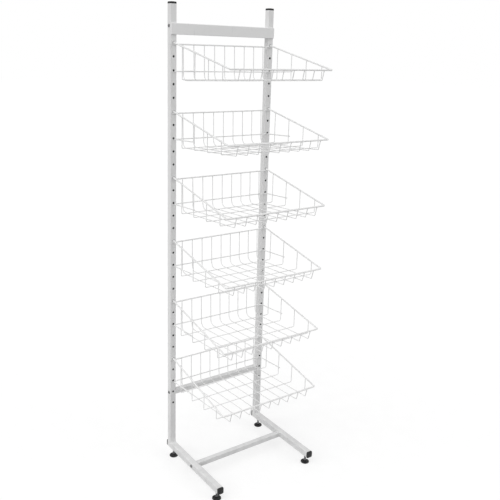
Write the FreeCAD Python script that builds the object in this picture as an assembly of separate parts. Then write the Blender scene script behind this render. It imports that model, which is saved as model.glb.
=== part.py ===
"""Bakery bread rack: a free-standing square-tube frame that carries six sloping wire baskets.

Frame of the part: origin on the floor at the middle of the footprint, X to the viewer's right,
the baskets reach towards -Y, Z up.  All lengths in millimetres, angles in degrees.
"""
import FreeCAD, Part
import math
import os
from FreeCAD import Vector

# ------------------------------------------------------------------ frame tubes
TUBE = 25.0                 # side of the square tube used for uprights and base legs
TUBE_WALL = 1.5
TUBE_CORNER = 2.5
BAR = 20.0                  # side of the square tube used for the three crossbars
BAR_WALL = 1.5
BAR_CORNER = 2.0
SPACING = 440.0             # between the centre lines of the two uprights
UPRIGHT_LENGTH = 1770.0
LEG_LENGTH = 390.0
LEG_CLEARANCE = 35.0        # floor to the underside of a base leg

# ------------------------------------------------------------------ holes for the baskets
HOLE_D = 8.0
HOLE_PITCH = 50.0
HOLE_COUNT = 30
LOWEST_HOLE = 185.0         # above the top of the base leg
BASKET_COUNT = 6
HOLES_PER_BASKET = 5

# ------------------------------------------------------------------ bars and header
LOWER_BAR_RISE = 229.0      # centre line above the top of the base leg
TOP_BAR_DROP = 77.0         # centre line below the top of the uprights
BASE_BAR_SETBACK = 198.0    # centre line from the rear end of the base legs
HEADER_HEIGHT = 40.0
HEADER_DROP = 67.5          # top edge below the top of the uprights
HEADER_DEPTH = 6.3
HEADER_SHEET = 1.2
HEADER_EDGE_R = 2.0
WELD_R = 2.6                # size of the weld beads
FOOT_WELD_LENGTH = 21.0
TACK_LENGTH = 9.0

# ------------------------------------------------------------------ bolts, washers, inserts
BOLT_D = 6.0
BOLT_CLEARANCE_D = 6.6
BOLT_GRIP_IN_BAR = 16.0
BOLT_HEAD_D = 10.5
BOLT_HEAD_H = 3.3
BOLT_SOCKET_AF = 4.0
BOLT_SOCKET_DEPTH = 2.0
WASHER_D = 12.5
WASHER_T = 1.2
INSERT_LENGTH = 22.0
INSERT_CORNER = 0.8

# ------------------------------------------------------------------ end caps
CAP_EDGE = 7.0
CAP_CROWN = 1.0
CAP_PLUG_DEPTH = 12.0
CAP_PLUG_CORE = 20.0
CAP_PLUG_WALL = 2.0
CAP_RIB_T = 1.2
CAP_RIB_STARTS = (2.0, 5.4, 8.8)
CAP_RIB_CORNER = 1.6
CAP_EDGE_ROUND = 0.7

# ------------------------------------------------------------------ levelling feet
REAR_FOOT_INSET = 31.0      # from the leg's rear end
FRONT_FOOT_INSET = 22.0     # from the leg's front end
PAD_D = 35.0
PAD_RIM_H = 3.0
PAD_DOME_H = 6.0
PAD_NECK_D = 12.0
PAD_NECK_H = 9.0
PAD_CHAMFER = 0.8
STUD_D = 8.0
STUD_TOP = 48.0             # above the floor
STUD_CHAMFER = 0.8
STUD_HEX_AF = 11.0
STUD_HEX_H = 3.5
SOCKET_FLOOR = 3.0          # bottom of the pad's socket above the floor
RUNNING_GAP = 0.1           # around a stud in its pad and its nut
SEAT_GAP = 0.2              # under a stud's end and under its hexagon
FOOT_HOLE_D = 9.0           # in the bottom wall of a leg
NUT_AF = 13.0
NUT_H = 6.5

# ------------------------------------------------------------------ baskets, from the hook hole's centre
RIM_WIRE = 6.0              # diameter of the rim and its hooks
BACK_WIRE = 5.0             # diameter of the straight wire between the hooks
REST_WIRE = 4.0             # diameter of the wire that leans on the uprights
MESH_WIRE = 3.0             # diameter of the basket wires
WELD_BITE = 0.1             # how far crossing wires sink into each other
END_BITE = 0.25             # how far a wire's end sinks into the wire it butts against
HOOK_LIFT_GAP = 0.5         # under a hook, in the middle of the hole's wall
HOOK_TAIL_GAP = 0.6         # between a hook's upturned tail and the wall it stands behind
HOOK_TAIL_TOP = 9.0
HOOK_BEND_R = 5.0
FRONT_REACH = 376.5         # front rim in front of the uprights' faces
FRONT_DROP = 81.5
RIM_CORNER_R = 6.0
FACE_GAP = 0.3              # between the back and rest wires and the uprights' faces
REST_DROP = 104.0
REST_TIP_DROP = 96.0        # at the front ends of its two arms
REST_CORNER_R = 8.0
LENGTHWISE_COUNT = 9
LENGTHWISE_PITCH = 45.5
CROSSWISE_COUNT = 4
CROSSWISE_FIRST = 56.0
CROSSWISE_PITCH = 89.2
CROSSWISE_DROP_BACK = 131.5   # the rearmost crosswise wire's floor
CROSSWISE_DROP_FRONT = 117.8  # the frontmost one's
CROSSWISE_TIP_RISE = 2.0    # ends above the side arm's centre line
CROSSWISE_CORNER_R = 6.0
FLOOR_FRONT = 366.0         # where the basket's floor turns up at the front
FLOOR_BACK_R = 22.0
FLOOR_FRONT_R = 6.0

# ------------------------------------------------------------------ derived
LEG_TOP = LEG_CLEARANCE + TUBE
UPRIGHT_TOP = LEG_TOP + UPRIGHT_LENGTH
SIDE_X = SPACING / 2
HALF_TUBE = TUBE / 2
HALF_INNER = SIDE_X - HALF_TUBE
OUTER_X = SIDE_X + HALF_TUBE
REAR_REACH = TUBE + CAP_EDGE + CAP_CROWN
FACE_Y = (FRONT_REACH + RIM_WIRE / 2 - REAR_REACH) / 2    # front faces of the uprights
REAR_Y = FACE_Y + TUBE
FRONT_LEG_Y = REAR_Y - LEG_LENGTH
TUBE_Y = FACE_Y + HALF_TUBE
BASE_BAR_Y = REAR_Y - BASE_BAR_SETBACK
BASE_BAR_Z = LEG_CLEARANCE + HALF_TUBE
LOWER_BAR_Z = LEG_TOP + LOWER_BAR_RISE
TOP_BAR_Z = UPRIGHT_TOP - TOP_BAR_DROP
HOLE_ZS = [LEG_TOP + LOWEST_HOLE + HOLE_PITCH * i for i in range(HOLE_COUNT)]
HOOK_ZS = HOLE_ZS[::-1][::HOLES_PER_BASKET][:BASKET_COUNT]
FOOT_YS = {"rear": REAR_Y - REAR_FOOT_INSET, "front": FRONT_LEG_Y + FRONT_FOOT_INSET}
SIDES = {"left": -1, "right": 1}
HEADER_TOP = UPRIGHT_TOP - HEADER_DROP
BOLTED_BARS = [(TUBE_Y, TOP_BAR_Z), (TUBE_Y, LOWER_BAR_Z), (BASE_BAR_Y, BASE_BAR_Z)]
ARM_LEAN = math.atan2(FRONT_DROP, FRONT_REACH)
BACK_Y = FACE_GAP + BACK_WIRE / 2
CROSSWISE_X = SIDE_X - (RIM_WIRE + MESH_WIRE) / 2 + WELD_BITE

X_AXIS = Vector(1, 0, 0)
Y_AXIS = Vector(0, 1, 0)
Z_AXIS = Vector(0, 0, 1)
ORIGIN = Vector(0, 0, 0)


# ------------------------------------------------------------------ basic shapes
def square_prism(side, corner, length):
    """Prism along +Z with a centred square section and rounded corners."""
    half = side / 2
    near = half - corner
    bow = near + corner * math.sqrt(0.5)
    edges = []
    for turn in range(4):
        rotate = FreeCAD.Rotation(Z_AXIS, 90 * turn)
        start, end = Vector(half, -near, 0), Vector(half, near, 0)
        middle, after = Vector(bow, bow, 0), Vector(near, half, 0)
        start, end, middle, after = [rotate.multVec(p) for p in (start, end, middle, after)]
        edges.append(Part.makeLine(start, end))
        edges.append(Part.Arc(end, middle, after).toShape())
    return Part.Face(Part.Wire(edges)).extrude(Vector(0, 0, length))


def square_tube(side, wall, corner, length):
    """Hollow square tube along +Z."""
    inner = square_prism(side - 2 * wall, corner - wall, length)
    return square_prism(side, corner, length).cut(inner)


def hexagon(across_flats, height):
    """Hexagonal prism along +Z."""
    radius = across_flats / math.sqrt(3)
    corners = [Vector(radius * math.cos(math.radians(60 * i)), radius * math.sin(math.radians(60 * i)), 0)
               for i in range(7)]
    return Part.Face(Part.makePolygon(corners)).extrude(Vector(0, 0, height))


def turned(profile):
    """Solid of revolution about Z from (radius, height) points."""
    points = [Vector(r, 0, z) for r, z in profile]
    return Part.Face(Part.makePolygon(points + points[:1])).revolve(ORIGIN, Z_AXIS, 360)


def placed(shape, position, axis=Z_AXIS):
    """Copy of a shape drawn along +Z, moved to position and pointed along axis."""
    copy = shape.copy()
    copy.Placement = FreeCAD.Placement(position, FreeCAD.Rotation(Z_AXIS, axis)).multiply(copy.Placement)
    return copy


# ------------------------------------------------------------------ bent wires
def rounded_path(points, radii):
    """Straight runs through points, with an arc of the given radius at every inner point."""
    edges = []
    current = points[0]
    for before, corner, after, radius in zip(points, points[1:], points[2:], radii):
        back = (before - corner).normalize()
        ahead = (after - corner).normalize()
        half_angle = back.getAngle(ahead) / 2
        trim = radius / math.tan(half_angle)
        middle = (back + ahead).normalize()
        deep = radius / math.sin(half_angle) - radius
        first, last = corner + back * trim, corner + ahead * trim
        edges.append(Part.makeLine(current, first))
        edges.append(Part.Arc(first, corner + middle * deep, last).toShape())
        current = last
    edges.append(Part.makeLine(current, points[-1]))
    return Part.Wire(edges)


def bent_wire(points, radii, diameter):
    """Round wire along a path of straight runs and bends."""
    path = rounded_path(points, radii)
    section = Part.Wire(Part.makeCircle(diameter / 2, points[0], points[1] - points[0]))
    return path.makePipeShell([section], True, False)


def straight_wire(start, end, diameter):
    along = end - start
    return Part.makeCylinder(diameter / 2, along.Length, start, along)


# ------------------------------------------------------------------ frame
def upright(side):
    """Square tube with the row of hook holes in its front wall and bolt holes through both sides."""
    body = placed(square_tube(TUBE, TUBE_WALL, TUBE_CORNER, UPRIGHT_LENGTH),
                  Vector(side * SIDE_X, TUBE_Y, LEG_TOP))
    cutters = []
    for z in HOLE_ZS:
        cutters.append(Part.makeCylinder(HOLE_D / 2, HALF_TUBE, Vector(side * SIDE_X, FACE_Y - 1, z), Y_AXIS))
    for y, z in BOLTED_BARS[:2]:
        cutters.append(bolt_hole(side, y, z))
    return body.cut(Part.makeCompound(cutters))


def bolt_hole(side, y, z):
    start = Vector(side * SIDE_X - TUBE, y, z)
    return Part.makeCylinder(BOLT_CLEARANCE_D / 2, 2 * TUBE, start, X_AXIS)


def base_leg(side):
    """Square tube along Y with two foot holes underneath and one bolt hole through both sides."""
    body = placed(square_tube(TUBE, TUBE_WALL, TUBE_CORNER, LEG_LENGTH),
                  Vector(side * SIDE_X, FRONT_LEG_Y, BASE_BAR_Z), Y_AXIS)
    cutters = [bolt_hole(side, *BOLTED_BARS[2])]
    for y in FOOT_YS.values():
        start = Vector(side * SIDE_X, y, LEG_CLEARANCE - 1)
        cutters.append(Part.makeCylinder(FOOT_HOLE_D / 2, HALF_TUBE, start, Z_AXIS))
    return body.cut(Part.makeCompound(cutters))


def crossbar(y, z):
    return placed(square_tube(BAR, BAR_WALL, BAR_CORNER, 2 * HALF_INNER), Vector(-HALF_INNER, y, z), X_AXIS)


def bead(centre, length, normals):
    """Rounded weld bead along X, kept to the quadrant that the two normals open towards."""
    run = length / 2 - WELD_R
    start = centre - X_AXIS * run
    capsule = Part.makeCylinder(WELD_R, 2 * run, start, X_AXIS)
    for end in (start, centre + X_AXIS * run):
        capsule = capsule.fuse(Part.makeSphere(WELD_R, end))
    reach = Vector(length, 2 * WELD_R, 2 * WELD_R)
    corner = centre - X_AXIS * length / 2
    if normals[0] < 0:
        corner = corner - Y_AXIS * reach.y
    return capsule.common(Part.makeBox(reach.x, reach.y, reach.z, corner)).removeSplitter()


def weld_beads(side):
    """Bead in front of the upright's foot, and one tack on the header's top edge."""
    foot = bead(Vector(side * SIDE_X, FACE_Y, LEG_TOP), FOOT_WELD_LENGTH, (-1, 1))
    tack = bead(Vector(side * SIDE_X, FACE_Y, HEADER_TOP), TACK_LENGTH, (-1, 1))
    return Part.makeCompound([foot, tack])


def header_panel():
    """Shallow tray folded from sheet, open at the back, lying on the uprights' front faces."""
    low = HEADER_TOP - HEADER_HEIGHT
    front = FACE_Y - HEADER_DEPTH
    outer = Part.makeBox(2 * OUTER_X, HEADER_DEPTH, HEADER_HEIGHT, Vector(-OUTER_X, front, low))
    inner_width = 2 * (OUTER_X - HEADER_SHEET)
    inner_height = HEADER_HEIGHT - 2 * HEADER_SHEET
    corner = Vector(-OUTER_X + HEADER_SHEET, front + HEADER_SHEET, low + HEADER_SHEET)
    inner = Part.makeBox(inner_width, HEADER_DEPTH, inner_height, corner)
    bends = [e for e in outer.Edges if e.BoundBox.YMax < front + 0.1]
    outer = outer.makeFillet(HEADER_EDGE_R, bends)
    inner_front = front + HEADER_SHEET
    inner_bends = [e for e in inner.Edges if e.BoundBox.YMax < inner_front + 0.1]
    inner = inner.makeFillet(HEADER_EDGE_R - HEADER_SHEET, inner_bends)
    return outer.cut(inner)


# ------------------------------------------------------------------ fasteners
def frame_bolt():
    """Button-head bolt along +Z, head's seat at z = 0, head below it."""
    shank = Part.makeCylinder(BOLT_D / 2, WASHER_T + TUBE + BOLT_GRIP_IN_BAR, Vector(0, 0, -0.01))
    rise = BOLT_HEAD_H
    reach = BOLT_HEAD_D / 2
    dome_r = (rise ** 2 + reach ** 2) / (2 * rise)
    dome = Part.makeSphere(dome_r, Vector(0, 0, dome_r - rise))
    head = dome.common(Part.makeCylinder(reach, rise, Vector(0, 0, -rise)))
    socket = placed(hexagon(BOLT_SOCKET_AF, BOLT_SOCKET_DEPTH + 1), Vector(0, 0, -rise - 1))
    return head.fuse(shank).cut(socket).removeSplitter()


def washer():
    ring = Part.makeCylinder(WASHER_D / 2, WASHER_T)
    return ring.cut(Part.makeCylinder(BOLT_CLEARANCE_D / 2, WASHER_T))


def insert():
    """Threaded plug for a crossbar's end, along +Z from the bar's end inwards."""
    body = square_prism(BAR - 2 * BAR_WALL, INSERT_CORNER, INSERT_LENGTH)
    return body.cut(Part.makeCylinder(BOLT_D / 2, INSERT_LENGTH))


def at_bar_ends(shape, distance):
    """The shape at both ends of each bar, pointing inwards, at a distance from the rack's middle."""
    copies = []
    for y, z in BOLTED_BARS:
        for side in SIDES.values():
            copies.append(placed(shape, Vector(side * distance, y, z), Vector(-side, 0, 0)))
    return Part.makeCompound(copies)


# ------------------------------------------------------------------ end caps
def end_cap():
    """Cap with a crowned head above z = 0 and a ribbed plug below."""
    total = CAP_EDGE + CAP_CROWN
    crown_r = (HALF_TUBE ** 2 + CAP_CROWN ** 2) / (2 * CAP_CROWN)
    ball = Part.makeSphere(crown_r, Vector(0, 0, total - crown_r))
    head = square_prism(TUBE, TUBE_CORNER, total).common(ball)
    rim = [e for e in head.Edges if e.BoundBox.ZMin > 1 and e.BoundBox.ZMax < total]
    head = head.makeFillet(CAP_EDGE_ROUND, rim)
    core = square_tube(CAP_PLUG_CORE, CAP_PLUG_WALL, CAP_PLUG_WALL + 0.5, CAP_PLUG_DEPTH)
    plug = placed(core, Vector(0, 0, -CAP_PLUG_DEPTH))
    for start in CAP_RIB_STARTS:
        rib = square_prism(TUBE - 2 * TUBE_WALL, CAP_RIB_CORNER, CAP_RIB_T)
        rib = rib.cut(square_prism(CAP_PLUG_CORE - CAP_PLUG_WALL, CAP_PLUG_WALL, CAP_RIB_T))
        plug = plug.fuse(placed(rib, Vector(0, 0, -start - CAP_RIB_T)))
    return head.fuse(plug).removeSplitter()


# ------------------------------------------------------------------ levelling feet
def foot_pad(x, y):
    """Round pad with a low dome and a neck, with a socket for the stud's end."""
    socket_r = STUD_D / 2 + RUNNING_GAP
    radius = PAD_D / 2
    profile = [(0, 0), (radius - PAD_CHAMFER, 0), (radius, PAD_CHAMFER), (radius, PAD_RIM_H)]
    steps = 6
    neck_r = PAD_NECK_D / 2
    for i in range(1, steps + 1):
        angle = math.radians(90 * i / steps)
        r = neck_r + (radius - neck_r) * math.cos(angle)
        profile.append((r, PAD_RIM_H + (PAD_DOME_H - PAD_RIM_H) * math.sin(angle)))
    profile += [(neck_r, PAD_NECK_H), (socket_r, PAD_NECK_H), (socket_r, SOCKET_FLOOR), (0, SOCKET_FLOOR)]
    return placed(turned(profile), Vector(x, y, 0))


def foot_stud(x, y):
    """Threaded stud with a hexagon just above the pad."""
    radius = STUD_D / 2
    low = SOCKET_FLOOR + SEAT_GAP
    profile = [(0, low), (radius - STUD_CHAMFER, low), (radius, low + STUD_CHAMFER),
               (radius, STUD_TOP - STUD_CHAMFER), (radius - STUD_CHAMFER, STUD_TOP), (0, STUD_TOP)]
    hexagonal = placed(hexagon(STUD_HEX_AF, STUD_HEX_H), Vector(0, 0, PAD_NECK_H + SEAT_GAP))
    return placed(turned(profile).fuse(hexagonal), Vector(x, y, 0))


def foot_nut(x, y):
    nut = hexagon(NUT_AF, NUT_H).cut(Part.makeCylinder(STUD_D / 2 + RUNNING_GAP, NUT_H))
    return placed(nut, Vector(x, y, LEG_CLEARANCE + TUBE_WALL))


# ------------------------------------------------------------------ baskets
def at(x, forward, drop):
    """Point of a basket: forward of the uprights' faces and below the hook hole's centre."""
    return Vector(x, FACE_Y - forward, -drop)


def arm_drop(forward):
    """Drop of the side arm's centre line, which runs straight through the hook hole."""
    hook_drop = HOLE_D / 2 - HOOK_LIFT_GAP - RIM_WIRE / 2 / math.cos(ARM_LEAN)
    slope = (FRONT_DROP - hook_drop) / (FRONT_REACH + TUBE_WALL / 2)
    return hook_drop + slope * (forward + TUBE_WALL / 2)


def back_drop():
    """Drop of the back wire, which is welded under the side arms."""
    return arm_drop(BACK_Y) + ((RIM_WIRE + BACK_WIRE) / 2 - WELD_BITE) / math.cos(ARM_LEAN)


def cross_drop(forward):
    """Drop of the crosswise wires' floor at a distance in front of the uprights' faces."""
    run = CROSSWISE_PITCH * (CROSSWISE_COUNT - 1)
    slope = (CROSSWISE_DROP_FRONT - CROSSWISE_DROP_BACK) / run
    return CROSSWISE_DROP_BACK + slope * (forward - CROSSWISE_FIRST)


def rim():
    """One wire: upturned hook tail, side arm, front rim and the same back on the other side."""
    tail = -TUBE_WALL - HOOK_TAIL_GAP - RIM_WIRE / 2
    half = [at(SIDE_X, tail, -HOOK_TAIL_TOP), at(SIDE_X, tail, arm_drop(tail)),
            at(SIDE_X, FRONT_REACH, FRONT_DROP)]
    other = [Vector(-p.x, p.y, p.z) for p in reversed(half)]
    return bent_wire(half + other, [HOOK_BEND_R] + [RIM_CORNER_R] * 2 + [HOOK_BEND_R], RIM_WIRE)


def back_wire():
    """Straight wire under both side arms, close to the uprights."""
    reach = SIDE_X + RIM_WIRE / 2
    return straight_wire(at(-reach, BACK_Y, back_drop()), at(reach, BACK_Y, back_drop()), BACK_WIRE)


def rest_wire():
    """U of wire that leans on the uprights, its rising arms outside the first two crosswise wires."""
    x = CROSSWISE_X + (MESH_WIRE + REST_WIRE) / 2 - WELD_BITE
    back = FACE_GAP + REST_WIRE / 2
    tip = CROSSWISE_FIRST + CROSSWISE_PITCH + REST_WIRE
    half = [at(x, back, REST_DROP), at(x, tip, REST_TIP_DROP)]
    other = [Vector(-p.x, p.y, p.z) for p in reversed(half)]
    return bent_wire(other + half, [REST_CORNER_R] * 2, REST_WIRE)


def lengthwise_wire(x):
    """From the back wire down past the rest wire, under the crosswise wires and up to the front rim."""
    rest_y = FACE_GAP + REST_WIRE + MESH_WIRE / 2 - WELD_BITE
    lean = (rest_y - BACK_Y) / (REST_DROP - back_drop())
    under = MESH_WIRE - WELD_BITE
    low_drop = cross_drop(rest_y) + under
    low_y = rest_y + lean * (low_drop - REST_DROP)
    top_drop = back_drop() + BACK_WIRE / 2 - END_BITE
    front_low = Vector(x, FACE_Y - FLOOR_FRONT, -cross_drop(FLOOR_FRONT) - under)
    rim_axis = at(x, FRONT_REACH, FRONT_DROP)
    up = (rim_axis - front_low).normalize()
    tip = rim_axis - up * (RIM_WIRE / 2 - END_BITE)
    points = [at(x, BACK_Y, top_drop), at(x, low_y, low_drop), front_low, tip]
    return bent_wire(points, [FLOOR_BACK_R, FLOOR_FRONT_R], MESH_WIRE)


def crosswise_wire(forward):
    """U of wire from the inside of one side arm down, across the floor and up to the other side arm."""
    x = CROSSWISE_X
    top = arm_drop(forward) - CROSSWISE_TIP_RISE
    low = cross_drop(forward)
    points = [at(-x, forward, top), at(-x, forward, low), at(x, forward, low), at(x, forward, top)]
    return bent_wire(points, [CROSSWISE_CORNER_R] * 2, MESH_WIRE)


def basket_parts():
    """Shapes of one basket by name, with the hook hole's centre at z = 0."""
    first = -LENGTHWISE_PITCH * (LENGTHWISE_COUNT - 1) / 2
    along = [lengthwise_wire(first + LENGTHWISE_PITCH * i) for i in range(LENGTHWISE_COUNT)]
    across = [crosswise_wire(CROSSWISE_FIRST + CROSSWISE_PITCH * i) for i in range(CROSSWISE_COUNT)]
    return {
        "rim": rim(),
        "back_wire": back_wire(),
        "rest_wire": rest_wire(),
        "lengthwise_wires": Part.makeCompound(along),
        "crosswise_wires": Part.makeCompound(across),
    }


# ------------------------------------------------------------------ assembly
def build():
    nodes = {}
    cap = end_cap()
    nuts = []
    for name, side in SIDES.items():
        x = side * SIDE_X
        nodes[name + "_upright"] = upright(side)
        nodes[name + "_base_leg"] = base_leg(side)
        nodes[name + "_weld_beads"] = weld_beads(side)
        nodes[name + "_upright_cap"] = placed(cap, Vector(x, TUBE_Y, UPRIGHT_TOP))
        nodes[name + "_rear_leg_cap"] = placed(cap, Vector(x, REAR_Y, BASE_BAR_Z), Y_AXIS)
        nodes[name + "_front_leg_cap"] = placed(cap, Vector(x, FRONT_LEG_Y, BASE_BAR_Z), -Y_AXIS)
        for end, y in FOOT_YS.items():
            nodes[name + "_" + end + "_foot_pad"] = foot_pad(x, y)
            nodes[name + "_" + end + "_foot_stud"] = foot_stud(x, y)
            nuts.append(foot_nut(x, y))
    nodes["leg_foot_nuts"] = Part.makeCompound(nuts)
    nodes["header_panel"] = header_panel()
    for name, (y, z) in zip(("top_crossbar", "lower_crossbar", "base_crossbar"), BOLTED_BARS):
        nodes[name] = crossbar(y, z)
    nodes["crossbar_inserts"] = at_bar_ends(insert(), HALF_INNER)
    nodes["frame_bolts"] = at_bar_ends(frame_bolt(), OUTER_X + WASHER_T)
    nodes["bolt_washers"] = at_bar_ends(washer(), OUTER_X + WASHER_T)
    parts = basket_parts()
    for number, z in enumerate(HOOK_ZS, start=1):
        for name, shape in parts.items():
            nodes[f"basket_{number}_{name}"] = placed(shape, Vector(0, 0, z))
    return nodes


os.makedirs("parts", exist_ok=True)
for node_name, node_shape in build().items():
    node_shape.exportStep(f"parts/{node_name}.step")
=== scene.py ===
"""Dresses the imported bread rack: powder-coated tube and wire, black plastic ends and feet, soft light."""
import math
import random

import bmesh
import bpy
from mathutils import Matrix, Vector


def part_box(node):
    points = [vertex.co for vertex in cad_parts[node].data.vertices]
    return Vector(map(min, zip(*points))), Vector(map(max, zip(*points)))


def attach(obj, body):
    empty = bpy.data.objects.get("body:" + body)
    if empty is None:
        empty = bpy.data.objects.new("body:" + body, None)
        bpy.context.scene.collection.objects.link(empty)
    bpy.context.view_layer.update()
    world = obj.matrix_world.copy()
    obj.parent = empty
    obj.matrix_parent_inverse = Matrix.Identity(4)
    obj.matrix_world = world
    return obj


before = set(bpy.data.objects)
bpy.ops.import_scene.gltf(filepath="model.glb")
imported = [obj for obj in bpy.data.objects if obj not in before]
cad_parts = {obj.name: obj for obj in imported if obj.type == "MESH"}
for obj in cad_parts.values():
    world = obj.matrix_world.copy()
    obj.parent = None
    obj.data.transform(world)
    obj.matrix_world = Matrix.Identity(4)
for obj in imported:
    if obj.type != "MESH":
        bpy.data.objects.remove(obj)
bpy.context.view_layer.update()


def middle(node):
    """Middle of a CAD node's box at rest."""
    low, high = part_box(node)
    return (low + high) / 2


# ------------------------------------------------------------------ sizes read from the frame, in metres
UPRIGHT_LOW, UPRIGHT_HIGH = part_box("right_upright")
FACE_Y = UPRIGHT_LOW.y      # front faces of the uprights
SIDE_X = middle("right_upright").x
HALF_TUBE = (UPRIGHT_HIGH.x - UPRIGHT_LOW.x) / 2
LEG_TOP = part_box("right_base_leg")[1].z
REAR_FOOT_Y = middle("right_rear_foot_stud").y
FRONT_FOOT_Y = middle("right_front_foot_stud").y

# ------------------------------------------------------------------ sizes repeated from the part, in metres
TUBE_WALL = 0.0015
LOWEST_HOLE = 0.245
HOLE_PITCH = 0.050
HOLE_COUNT = 30
HIGHEST_HOLE = LOWEST_HOLE + HOLE_PITCH * (HOLE_COUNT - 1)
BASKET_COUNT = 6
HOLES_PER_BASKET = 5
HOOK_ZS = [HIGHEST_HOLE - HOLES_PER_BASKET * HOLE_PITCH * i for i in range(BASKET_COUNT)]
RIM_R = 0.003               # radii of a basket's wires
REST_R = 0.002
MESH_R = 0.0015
LENGTHWISE_PITCH = 0.0455
LENGTHWISE_XS = [LENGTHWISE_PITCH * i for i in range(-4, 5)]
CROSSWISE_FIRST = 0.0560
CROSSWISE_PITCH = 0.0892
CROSSWISE_FORWARDS = [CROSSWISE_FIRST + CROSSWISE_PITCH * i for i in range(4)]
CROSSWISE_X = 0.2156        # centre lines of a crosswise wire's upright ends
STUD_R = 0.004
THREAD_PITCH = 0.00125
# (forward of the uprights' faces, drop below the hook hole) of the wires' centre lines
BACK_WIRE = (0.0028, 0.0067)
ARM_LINE = (-0.00075, 0.00043), (0.3765, 0.0815)
REST_LINE = (0.0023, 0.1040), (0.1492, 0.0960)
FLOOR_LINE = (0.0560, 0.1315), (0.3236, 0.1178)

# ------------------------------------------------------------------ half sizes of weld nuggets, in metres
MESH_WELD = (0.0021, 0.0021, 0.0011)        # lengthwise wire on a crosswise wire
REST_WELD = (0.0021, 0.0011, 0.0024)        # lengthwise wire on the rest wire
BACK_WELD = (0.0021, 0.0020, 0.0012)        # lengthwise wire on the back wire
BACK_WELD_DROP = 0.0026                     # below the back wire's centre line
FRONT_WELD = (0.0022, 0.0019, 0.0013)       # lengthwise wire on the front of the rim
FRONT_WELD_SHIFT = (-0.0008, 0.0029)        # (forward, drop) from the rim's centre line
ARM_WELD = (0.0012, 0.0021, 0.0023)         # crosswise wire on the rim's arm
REST_END_WELD = (0.0011, 0.0021, 0.0022)    # crosswise wire on the rest wire's end
CORNER_WELD = (0.0027, 0.0019, 0.0012)      # back wire on the rim's arm
UNEVEN = (0.90, 1.08)                       # shares of its half sizes that a nugget's points lie at

# ------------------------------------------------------------------ wear and dirt, in metres
GRIME_TOP = 0.34                    # floor dirt thins out to nothing at this height
GRIME_FULL = 0.02                   # and is full from this one down
HOLE_WEAR = (0.0066, 0.0040)        # from a hole's centre: where wear begins, and where it is full
WEAR_DEPTH = (0.0030, 0.0016)       # behind an upright's face: no wear, and full wear
ROW_MARGIN = (0.02, 0.01)           # past the row's end holes: no wear, and full wear
SKIN = 0.0002                       # a limit lies about this far past the surface that it has to clear

# ------------------------------------------------------------------ colours
TUBE_WHITE = (0.80, 0.80, 0.80)
# the tubes' white made lighter: painted light on the header panel
HEADER_WHITE_WITH_PAINTED_LIGHT = (0.83, 0.83, 0.83)
# the tubes' white made lighter: painted highlight on the wires and their weld nuggets
WIRE_WHITE_WITH_PAINTED_HIGHLIGHT = (0.86, 0.86, 0.86)
WORN_STEEL = (0.30, 0.30, 0.31)
RAW_STEEL_AND_HOLE_SHADE = (0.085, 0.082, 0.080)   # bare steel inside the tubes, made dark enough to be painted shade in the hook holes
PLASTIC_TONES = (0.009, 0.009, 0.010), (0.016, 0.016, 0.017)
DUST = (0.20, 0.197, 0.190)
ZINC = (0.56, 0.57, 0.60)
# zinc darkened to half: painted shade on the feet's studs under the legs
ZINC_WITH_PAINTED_SHADE = (0.27, 0.27, 0.28)
GROOVE_DARK = (0.03, 0.03, 0.03)
OXIDE_TONES = (0.165, 0.165, 0.170), (0.235, 0.232, 0.228)
RUBBED_STEEL = (0.42, 0.42, 0.43)
FLOOR_TONES = (0.35, 0.35, 0.35), (0.37, 0.37, 0.37)            # as the rack's surfaces see it
FLOOR_SEEN_TONES = (0.42, 0.42, 0.42), (0.44, 0.44, 0.44)       # as the camera sees it, with the glow
FLOOR_GLOW = 0.60

# ------------------------------------------------------------------ camera fitted to the photograph
CAMERA_PLACE = (-1.45906, -2.062237, 1.67884)
YAW, PITCH, ROLL = -35.659, -14.016, 1.698     # degrees
FOCAL_PIXELS = 675.855
PICTURE_PIXELS = 500
AXIS_ROW = 217.857          # picture row of the optical axis
SENSOR_WIDTH = 36.0         # millimetres


# ------------------------------------------------------------------ node graphs
MIX_FACTOR, MIX_FIRST, MIX_SECOND = 0, 6, 7     # inputs of a Mix node that is set to colours
MIX_RESULT = 2                                  # and its output


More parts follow.
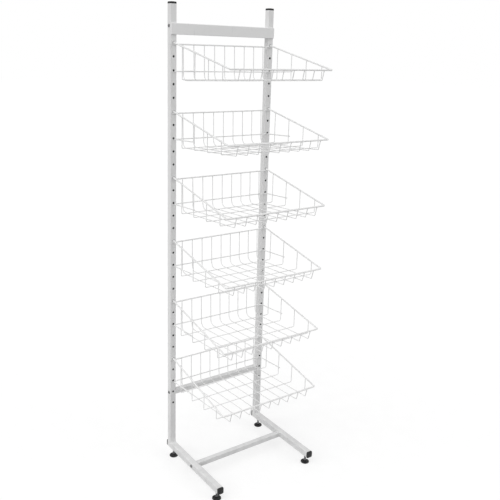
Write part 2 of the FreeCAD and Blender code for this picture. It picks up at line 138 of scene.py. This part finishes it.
class Graph:
    """A Principled material with short calls for the nodes that feed it."""

    def __init__(self, name):
        self.material = bpy.data.materials.new(name)
        self.material.use_nodes = True
        self.tree = self.material.node_tree
        self.tree.nodes.clear()
        self.shader = self.node("ShaderNodeBsdfPrincipled")
        out = self.node("ShaderNodeOutputMaterial")
        self.link(self.shader.outputs["BSDF"], out.inputs["Surface"])
        self.coords = self.node("ShaderNodeTexCoord").outputs["Object"]
        split = self.node("ShaderNodeSeparateXYZ")
        self.link(self.coords, split.inputs[0])
        self.x, self.y, self.z = split.outputs

    def node(self, kind, **settings):
        """A new node with these settings."""
        made = self.tree.nodes.new(kind)
        for key, value in settings.items():
            setattr(made, key, value)
        return made

    def link(self, source, socket):
        """Join an output socket to an input socket."""
        self.tree.links.new(source, socket)

    def feed(self, socket, value):
        """Give an input socket its value: another socket, a colour or a number."""
        if isinstance(value, bpy.types.NodeSocket):
            self.link(value, socket)
        elif isinstance(value, tuple):
            socket.default_value = (*value, 1.0)[:len(socket.default_value)]
        else:
            socket.default_value = value

    def maths(self, operation, first, second=0.0, clamp=False):
        """Result of a Math node on numbers or sockets."""
        made = self.node("ShaderNodeMath", operation=operation, use_clamp=clamp)
        self.feed(made.inputs[0], first)
        self.feed(made.inputs[1], second)
        return made.outputs[0]

    def noise(self, scale, detail, stretch=None, roughness=0.5):
        """Noise with about scale waves to the metre, drawn out along an axis where stretch is small."""
        made = self.node("ShaderNodeTexNoise")
        made.inputs["Scale"].default_value = scale
        made.inputs["Detail"].default_value = detail
        made.inputs["Roughness"].default_value = roughness
        source = self.coords
        if stretch:
            mapping = self.node("ShaderNodeMapping")
            mapping.inputs["Scale"].default_value = stretch
            self.link(source, mapping.inputs["Vector"])
            source = mapping.outputs[0]
        self.link(source, made.inputs["Vector"])
        return made.outputs["Fac"]

    def times(self, first, second):
        """Product of two numbers or sockets."""
        return self.maths("MULTIPLY", first, second)

    def spread(self, value, low, high, to_low=0.0, to_high=1.0):
        """value, from low..high, clamped and mapped to to_low..to_high."""
        made = self.node("ShaderNodeMapRange", clamp=True)
        for socket, number in zip(made.inputs, (value, low, high, to_low, to_high)):
            self.feed(socket, number)
        return made.outputs[0]

    def patches(self, low, high, to_low=0.0, to_high=1.0, **noise):
        """Noise with its levels low..high mapped to to_low..to_high."""
        return self.spread(self.noise(**noise), low, high, to_low, to_high)

    def blend(self, factor, first, second):
        """Colour that goes from first to second as factor goes from 0 to 1."""
        made = self.node("ShaderNodeMix", data_type="RGBA")
        self.feed(made.inputs[MIX_FACTOR], factor)
        self.feed(made.inputs[MIX_FIRST], first)
        self.feed(made.inputs[MIX_SECOND], second)
        return made.outputs[MIX_RESULT]

    def bump(self, height, strength, distance, under=None):
        """Normal of a relief that is at most distance deep, laid over another normal if one is given."""
        made = self.node("ShaderNodeBump")
        made.inputs["Strength"].default_value = strength
        made.inputs["Distance"].default_value = distance
        self.link(height, made.inputs["Height"])
        if under:
            self.link(under, made.inputs["Normal"])
        return made.outputs[0]

    def finish(self, **sockets):
        """Feed the shader's named sockets and return the material."""
        for name, value in sockets.items():
            self.feed(self.shader.inputs[name.replace("_", " ")], value)
        return self.material


def shade(colour, factor):
    """The colour made darker or lighter by a factor."""
    return tuple(channel * factor for channel in colour)


# ------------------------------------------------------------------ materials
def powder_coat(name, colour, grime=0.0, holes=False, gloss=0.12):
    """Semi-gloss powder coat with orange peel, tone drift and rubs; with dirt, and worn holes and dark tube
    insides (bare steel and painted shade in the holes), on request.
    """
    g = Graph(name)
    drift = g.patches(0.3, 0.7, scale=4.0, detail=3.0)
    cloud = g.patches(0.35, 0.7, scale=38.0, detail=4.0)
    tone = g.blend(drift, shade(colour, 0.965), shade(colour, 1.01))
    tone = g.blend(g.times(cloud, 0.35), tone, shade(colour, 0.955))
    rubs = g.patches(0.62, 0.74, scale=75.0, detail=5.0, stretch=(1.0, 1.0, 0.12), roughness=0.62)
    specks = g.patches(0.70, 0.76, scale=420.0, detail=2.0)
    marks = g.maths("MAXIMUM", g.times(rubs, 0.22), g.times(specks, 0.30), clamp=True)
    if grime:
        low_down = g.spread(g.z, GRIME_TOP, GRIME_FULL)
        dirt = g.times(low_down, g.patches(0.35, 0.75, scale=30.0, detail=5.0))
        marks = g.maths("ADD", marks, g.times(dirt, grime), clamp=True)
    tone = g.blend(marks, tone, shade(colour, 0.52))
    rough = g.patches(0.3, 0.7, 0.33, 0.46, scale=60.0, detail=3.0)
    rough = g.maths("ADD", rough, g.times(marks, 0.25), clamp=True)
    if holes:
        worn = worn_rims(g)
        tone = g.blend(g.times(worn, 0.55), tone, WORN_STEEL)
        # bare steel inside the tubes, darkened as painted shade in the hook holes
        tone = g.blend(inside_tubes(g), tone, RAW_STEEL_AND_HOLE_SHADE)
        rough = g.maths("ADD", rough, g.times(worn, 0.12), clamp=True)
    peel = g.bump(g.noise(scale=820.0, detail=2.0), strength=0.16, distance=0.0004)
    normal = g.bump(marks, strength=0.25, distance=0.0001, under=peel)
    return g.finish(Base_Color=tone, Roughness=rough, Normal=normal, Specular_IOR_Level=0.5,
                    Coat_Weight=gloss, Coat_Roughness=0.22)


def distance_of(g, across, along):
    """Length of an offset given by its two parts."""
    square = g.maths("ADD", g.times(across, across), g.times(along, along))
    return g.maths("SQRT", square)


def offset_from_side(g):
    """Offset across the rack from the middle of the nearer upright and leg; more than 0 is outwards."""
    return g.maths("SUBTRACT", g.maths("ABSOLUTE", g.x), SIDE_X)


def inside_tubes(g):
    """1 on the inner walls of the uprights and legs: bare steel, dark enough to be painted shade in the
    hook holes.
    """
    reach = HALF_TUBE - TUBE_WALL + SKIN
    beside = g.maths("ABSOLUTE", offset_from_side(g))
    behind = g.maths("ABSOLUTE", g.maths("SUBTRACT", g.y, FACE_Y + HALF_TUBE))
    above = g.maths("ABSOLUTE", g.maths("SUBTRACT", g.z, LEG_TOP - HALF_TUBE))
    in_upright = g.maths("LESS_THAN", g.maths("MAXIMUM", beside, behind), reach)
    over_leg = g.maths("GREATER_THAN", g.z, LEG_TOP + SKIN / 2)
    in_leg = g.maths("LESS_THAN", g.maths("MAXIMUM", beside, above), reach)
    return g.maths("MAXIMUM", g.times(in_upright, over_leg), in_leg)


def worn_rims(g):
    """Patchy wear around the hook holes in the uprights' front walls."""
    periods_below = 20      # keeps the remainder positive at every height
    row = g.maths("ADD", g.z, HOLE_PITCH / 2 - LOWEST_HOLE + HOLE_PITCH * periods_below)
    along = g.maths("SUBTRACT", g.maths("MODULO", row, HOLE_PITCH), HOLE_PITCH / 2)
    halo = g.spread(distance_of(g, offset_from_side(g), along), *HOLE_WEAR)
    front = g.spread(g.y, FACE_Y + WEAR_DEPTH[0], FACE_Y + WEAR_DEPTH[1])
    from_lowest = g.spread(g.z, LOWEST_HOLE - ROW_MARGIN[0], LOWEST_HOLE - ROW_MARGIN[1])
    to_highest = g.spread(g.z, HIGHEST_HOLE + ROW_MARGIN[0], HIGHEST_HOLE + ROW_MARGIN[1])
    patchy = g.times(halo, g.patches(0.30, 0.62, scale=240.0, detail=4.0))
    return g.times(g.times(patchy, front), g.times(from_lowest, to_highest))


def black_plastic(name):
    """Moulded black plastic with a fine grain, dust on what faces up, and pale scuffs."""
    g = Graph(name)
    tone = g.blend(g.patches(0.3, 0.7, scale=22.0, detail=4.0), *PLASTIC_TONES)
    normal_parts = g.node("ShaderNodeSeparateXYZ")
    g.link(g.node("ShaderNodeNewGeometry").outputs["Normal"], normal_parts.inputs[0])
    up = g.spread(normal_parts.outputs["Z"], 0.35, 1.0)
    dust = g.times(up, g.patches(0.38, 0.72, scale=140.0, detail=5.0))
    scuff = g.patches(0.64, 0.72, scale=90.0, detail=6.0, stretch=(1.0, 0.3, 1.0))
    marks = g.maths("ADD", g.times(dust, 0.10), g.times(scuff, 0.08), clamp=True)
    tone = g.blend(marks, tone, DUST)
    rough = g.patches(0.3, 0.7, 0.42, 0.60, scale=200.0, detail=3.0)
    grain = g.node("ShaderNodeTexVoronoi", feature="F1")
    grain.inputs["Scale"].default_value = 1300.0
    g.link(g.coords, grain.inputs["Vector"])
    normal = g.bump(grain.outputs["Distance"], strength=0.22, distance=0.0003)
    return g.finish(Base_Color=tone, Roughness=rough, Normal=normal, Specular_IOR_Level=0.35)


def on_stud(g):
    """1 on the cylinders of the feet's studs and 0 on their hexagons."""
    middle_y = (FRONT_FOOT_Y + REAR_FOOT_Y) / 2
    from_middle = g.maths("ABSOLUTE", g.maths("SUBTRACT", g.y, middle_y))
    along = g.maths("SUBTRACT", from_middle, REAR_FOOT_Y - middle_y)
    return g.maths("LESS_THAN", distance_of(g, offset_from_side(g), along), STUD_R + SKIN)


def zinc_steel(name, colour, threaded=False):
    """Zinc-plated steel with a faint bloom; a stud also shows its thread, darker in its grooves."""
    g = Graph(name)
    bloom = g.patches(0.35, 0.7, scale=190.0, detail=5.0)
    tone = g.blend(bloom, colour, shade(colour, 0.68))
    rough = g.patches(0.3, 0.7, 0.30, 0.48, scale=320.0, detail=3.0)
    normal = g.bump(g.noise(scale=1200.0, detail=3.0), strength=0.12, distance=0.0002)
    if threaded:
        turns = g.maths("SINE", g.times(g.z, 2 * math.pi / THREAD_PITCH))
        turns = g.times(turns, on_stud(g))
        # darker in the thread's grooves
        tone = g.blend(g.spread(turns, 0.2, -0.8, 0.0, 0.7), tone, GROOVE_DARK)
        normal = g.bump(turns, strength=0.55, distance=0.0003, under=normal)
    return g.finish(Base_Color=tone, Roughness=rough, Normal=normal, Metallic=1.0)


def dark_steel(name):
    """Black-oxide bolts and washers, rubbed bright in small spots."""
    g = Graph(name)
    tone = g.blend(g.patches(0.35, 0.7, scale=300.0, detail=5.0), *OXIDE_TONES)
    rub = g.patches(0.60, 0.72, scale=900.0, detail=4.0)
    tone = g.blend(g.times(rub, 0.5), tone, RUBBED_STEEL)
    rough = g.patches(0.3, 0.7, 0.34, 0.52, scale=500.0, detail=3.0)
    normal = g.bump(g.noise(scale=1500.0, detail=3.0), strength=0.15, distance=0.0002)
    return g.finish(Base_Color=tone, Roughness=rough, Normal=normal, Metallic=0.85)


MATERIALS = {
    "tube": powder_coat("tube_paint", TUBE_WHITE, grime=0.30, holes=True),
    "header": powder_coat("header_paint", HEADER_WHITE_WITH_PAINTED_LIGHT),
    "wire": powder_coat("wire_paint", WIRE_WHITE_WITH_PAINTED_HIGHLIGHT, gloss=0.35),
    "plastic": black_plastic("black_plastic"),
    "zinc": zinc_steel("zinc_steel", ZINC),
    # the studs take zinc darkened as painted shade
    "stud": zinc_steel("threaded_steel_with_painted_shade", ZINC_WITH_PAINTED_SHADE, threaded=True),
    "dark": dark_steel("dark_steel"),
}


def finish_of(node):
    """Which of MATERIALS a node takes, by its name."""
    if node.endswith(("_cap", "_foot_pad")):
        return "plastic"
    if node.endswith("_foot_stud"):
        return "stud"
    if node.endswith(("_foot_nuts", "_inserts")):
        return "zinc"
    if node in ("frame_bolts", "bolt_washers"):
        return "dark"
    if node == "header_panel":
        return "header"
    return "wire" if node.startswith("basket_") else "tube"


for node_name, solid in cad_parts.items():
    solid.data.materials.clear()
    solid.data.materials.append(MATERIALS[finish_of(node_name)])


# ------------------------------------------------------------------ spot welds of the baskets
def drop_on(line, forward):
    """Drop where a line through two (forward, drop) points is this far forward."""
    first, last = line
    share = (forward - first[0]) / (last[0] - first[0])
    return first[1] + (last[1] - first[1]) * share


def weld_spots():
    """((x, forward, drop), half sizes) of every weld on a basket."""
    spots = []
    rest_forward, rest_drop = REST_LINE[0]
    front_forward, front_drop = (place + shift for place, shift in zip(ARM_LINE[1], FRONT_WELD_SHIFT))
    for x in LENGTHWISE_XS:
        for forward in CROSSWISE_FORWARDS:
            spots.append(((x, forward, drop_on(FLOOR_LINE, forward) + MESH_R), MESH_WELD))
        spots.append(((x, rest_forward + REST_R, rest_drop), REST_WELD))
        spots.append(((x, BACK_WIRE[0], BACK_WIRE[1] + BACK_WELD_DROP), BACK_WELD))
        spots.append(((x, front_forward, front_drop), FRONT_WELD))
    for side in (-1, 1):
        for forward in CROSSWISE_FORWARDS:
            spots.append(((side * (SIDE_X - RIM_R), forward, drop_on(ARM_LINE, forward)), ARM_WELD))
        for forward in CROSSWISE_FORWARDS[:2]:
            drop = drop_on(REST_LINE, forward)
            spots.append(((side * (CROSSWISE_X + MESH_R), forward, drop), REST_END_WELD))
        under_arm = drop_on(ARM_LINE, BACK_WIRE[0]) + RIM_R
        spots.append(((side * SIDE_X, BACK_WIRE[0], under_arm), CORNER_WELD))
    return spots


def weld_nuggets(number, hook_z):
    """One mesh of uneven, squashed weld nuggets, coated over like the wires."""
    rng = random.Random(number)
    mesh = bmesh.new()
    for (x, forward, drop), size in weld_spots():
        shape = Matrix.Diagonal((*size, 1.0))
        is_round = size[0] == size[1]
        turn = Matrix.Rotation(rng.uniform(0, math.pi), 4, "Z") if is_round else Matrix.Identity(4)
        place = Matrix.Translation((x, FACE_Y - forward, hook_z - drop))
        made = bmesh.ops.create_icosphere(mesh, subdivisions=2, radius=1.0, matrix=place @ turn @ shape)
        centre = place.translation
        for vertex in made["verts"]:
            vertex.co = centre + (vertex.co - centre) * rng.uniform(*UNEVEN)
    data = bpy.data.meshes.new(f"basket_{number}_weld_nuggets")
    mesh.to_mesh(data)
    mesh.free()
    data.polygons.foreach_set("use_smooth", [True] * len(data.polygons))
    data.materials.append(MATERIALS["wire"])
    piece = bpy.data.objects.new(data.name, data)
    bpy.context.scene.collection.objects.link(piece)
    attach(piece, f"basket_{number}")


for basket, height in enumerate(HOOK_ZS, start=1):
    weld_nuggets(basket, height)


# ------------------------------------------------------------------ floor, light, camera
def floor_material():
    """Pale floor that shows white to the camera and keeps the rack's soft shadow."""
    g = Graph("pale_floor")
    grain = g.patches(0.3, 0.7, scale=14.0, detail=5.0)
    g.finish(Base_Color=g.blend(grain, *FLOOR_TONES), Roughness=0.7)
    glow = g.node("ShaderNodeEmission")
    glow.inputs["Strength"].default_value = FLOOR_GLOW
    pale = g.node("ShaderNodeBsdfDiffuse")
    g.link(g.blend(grain, *FLOOR_SEEN_TONES), pale.inputs["Color"])
    both = g.node("ShaderNodeAddShader")
    g.link(glow.outputs[0], both.inputs[0])
    g.link(pale.outputs[0], both.inputs[1])
    path = g.node("ShaderNodeLightPath")
    seen = g.maths("MAXIMUM", path.outputs["Is Camera Ray"], path.outputs["Is Glossy Ray"])
    choose = g.node("ShaderNodeMixShader")
    g.link(seen, choose.inputs[0])
    g.link(g.shader.outputs[0], choose.inputs[1])
    g.link(both.outputs[0], choose.inputs[2])
    out = next(n for n in g.tree.nodes if n.type == "OUTPUT_MATERIAL")
    g.link(choose.outputs[0], out.inputs["Surface"])
    return g.material


def add_floor():
    """Flat floor that reaches far past the picture."""
    reach = 30.0
    data = bpy.data.meshes.new("floor")
    corners = [(-reach, -reach, 0), (reach, -reach, 0), (reach, reach, 0), (-reach, reach, 0)]
    data.from_pydata(corners, [], [(0, 1, 2, 3)])
    data.materials.append(floor_material())
    floor = bpy.data.objects.new("floor", data)
    bpy.context.scene.collection.objects.link(floor)


def set_world(ambient):
    """Even white surroundings: plain white to the camera, the given level as light."""
    world = bpy.data.worlds.new("studio")
    bpy.context.scene.world = world
    world.use_nodes = True
    tree = world.node_tree
    tree.nodes.clear()
    path = tree.nodes.new("ShaderNodeLightPath")
    seen = tree.nodes.new("ShaderNodeMath")
    seen.operation = "MAXIMUM"
    tree.links.new(path.outputs["Is Camera Ray"], seen.inputs[0])
    tree.links.new(path.outputs["Is Transmission Ray"], seen.inputs[1])
    level = tree.nodes.new("ShaderNodeMapRange")
    level.inputs["To Min"].default_value = ambient
    level.inputs["To Max"].default_value = 1.0
    tree.links.new(seen.outputs[0], level.inputs["Value"])
    sky = tree.nodes.new("ShaderNodeBackground")
    tree.links.new(level.outputs[0], sky.inputs["Strength"])
    sky.inputs["Color"].default_value = (1.0, 1.0, 1.0, 1.0)
    out = tree.nodes.new("ShaderNodeOutputWorld")
    tree.links.new(sky.outputs[0], out.inputs["Surface"])


def add_lamp(name, towards_lamp, level, spread):
    """Soft light of even strength; level 1 lights a face that looks at it as brightly as it is painted."""
    light = bpy.data.lights.new(name, "SUN")
    light.energy = level * math.pi
    light.angle = math.radians(spread)
    lamp = bpy.data.objects.new(name, light)
    lamp.rotation_euler = Vector(towards_lamp).to_track_quat("Z", "Y").to_euler()
    bpy.context.scene.collection.objects.link(lamp)


def add_camera():
    """The photograph's viewpoint; the shift puts the optical axis above the picture's middle row."""
    yaw, pitch, roll = (math.radians(angle) for angle in (YAW, PITCH, ROLL))
    ahead = Vector((-math.sin(yaw) * math.cos(pitch), math.cos(yaw) * math.cos(pitch), math.sin(pitch)))
    level = Vector((math.cos(yaw), math.sin(yaw), 0.0))
    upright = level.cross(ahead)
    right = level * math.cos(roll) + upright * math.sin(roll)
    up = upright * math.cos(roll) - level * math.sin(roll)
    data = bpy.data.cameras.new("camera")
    data.sensor_width = SENSOR_WIDTH
    data.lens = FOCAL_PIXELS / PICTURE_PIXELS * SENSOR_WIDTH
    data.shift_y = (AXIS_ROW - PICTURE_PIXELS / 2) / PICTURE_PIXELS
    data.clip_end = 100.0
    camera = bpy.data.objects.new("camera", data)
    turn = Matrix((right, up, -ahead)).transposed()
    camera.matrix_world = Matrix.Translation(CAMERA_PLACE) @ turn.to_4x4()
    bpy.context.scene.collection.objects.link(camera)
    bpy.context.scene.camera = camera


add_floor()
set_world(ambient=0.57)
add_lamp("key", towards_lamp=(-0.75, -0.10, 0.65), level=0.46, spread=70.0)
add_lamp("fill", towards_lamp=(0.55, -0.65, 0.50), level=0.19, spread=50.0)
add_camera()
bpy.context.scene.view_settings.view_transform = "Standard"
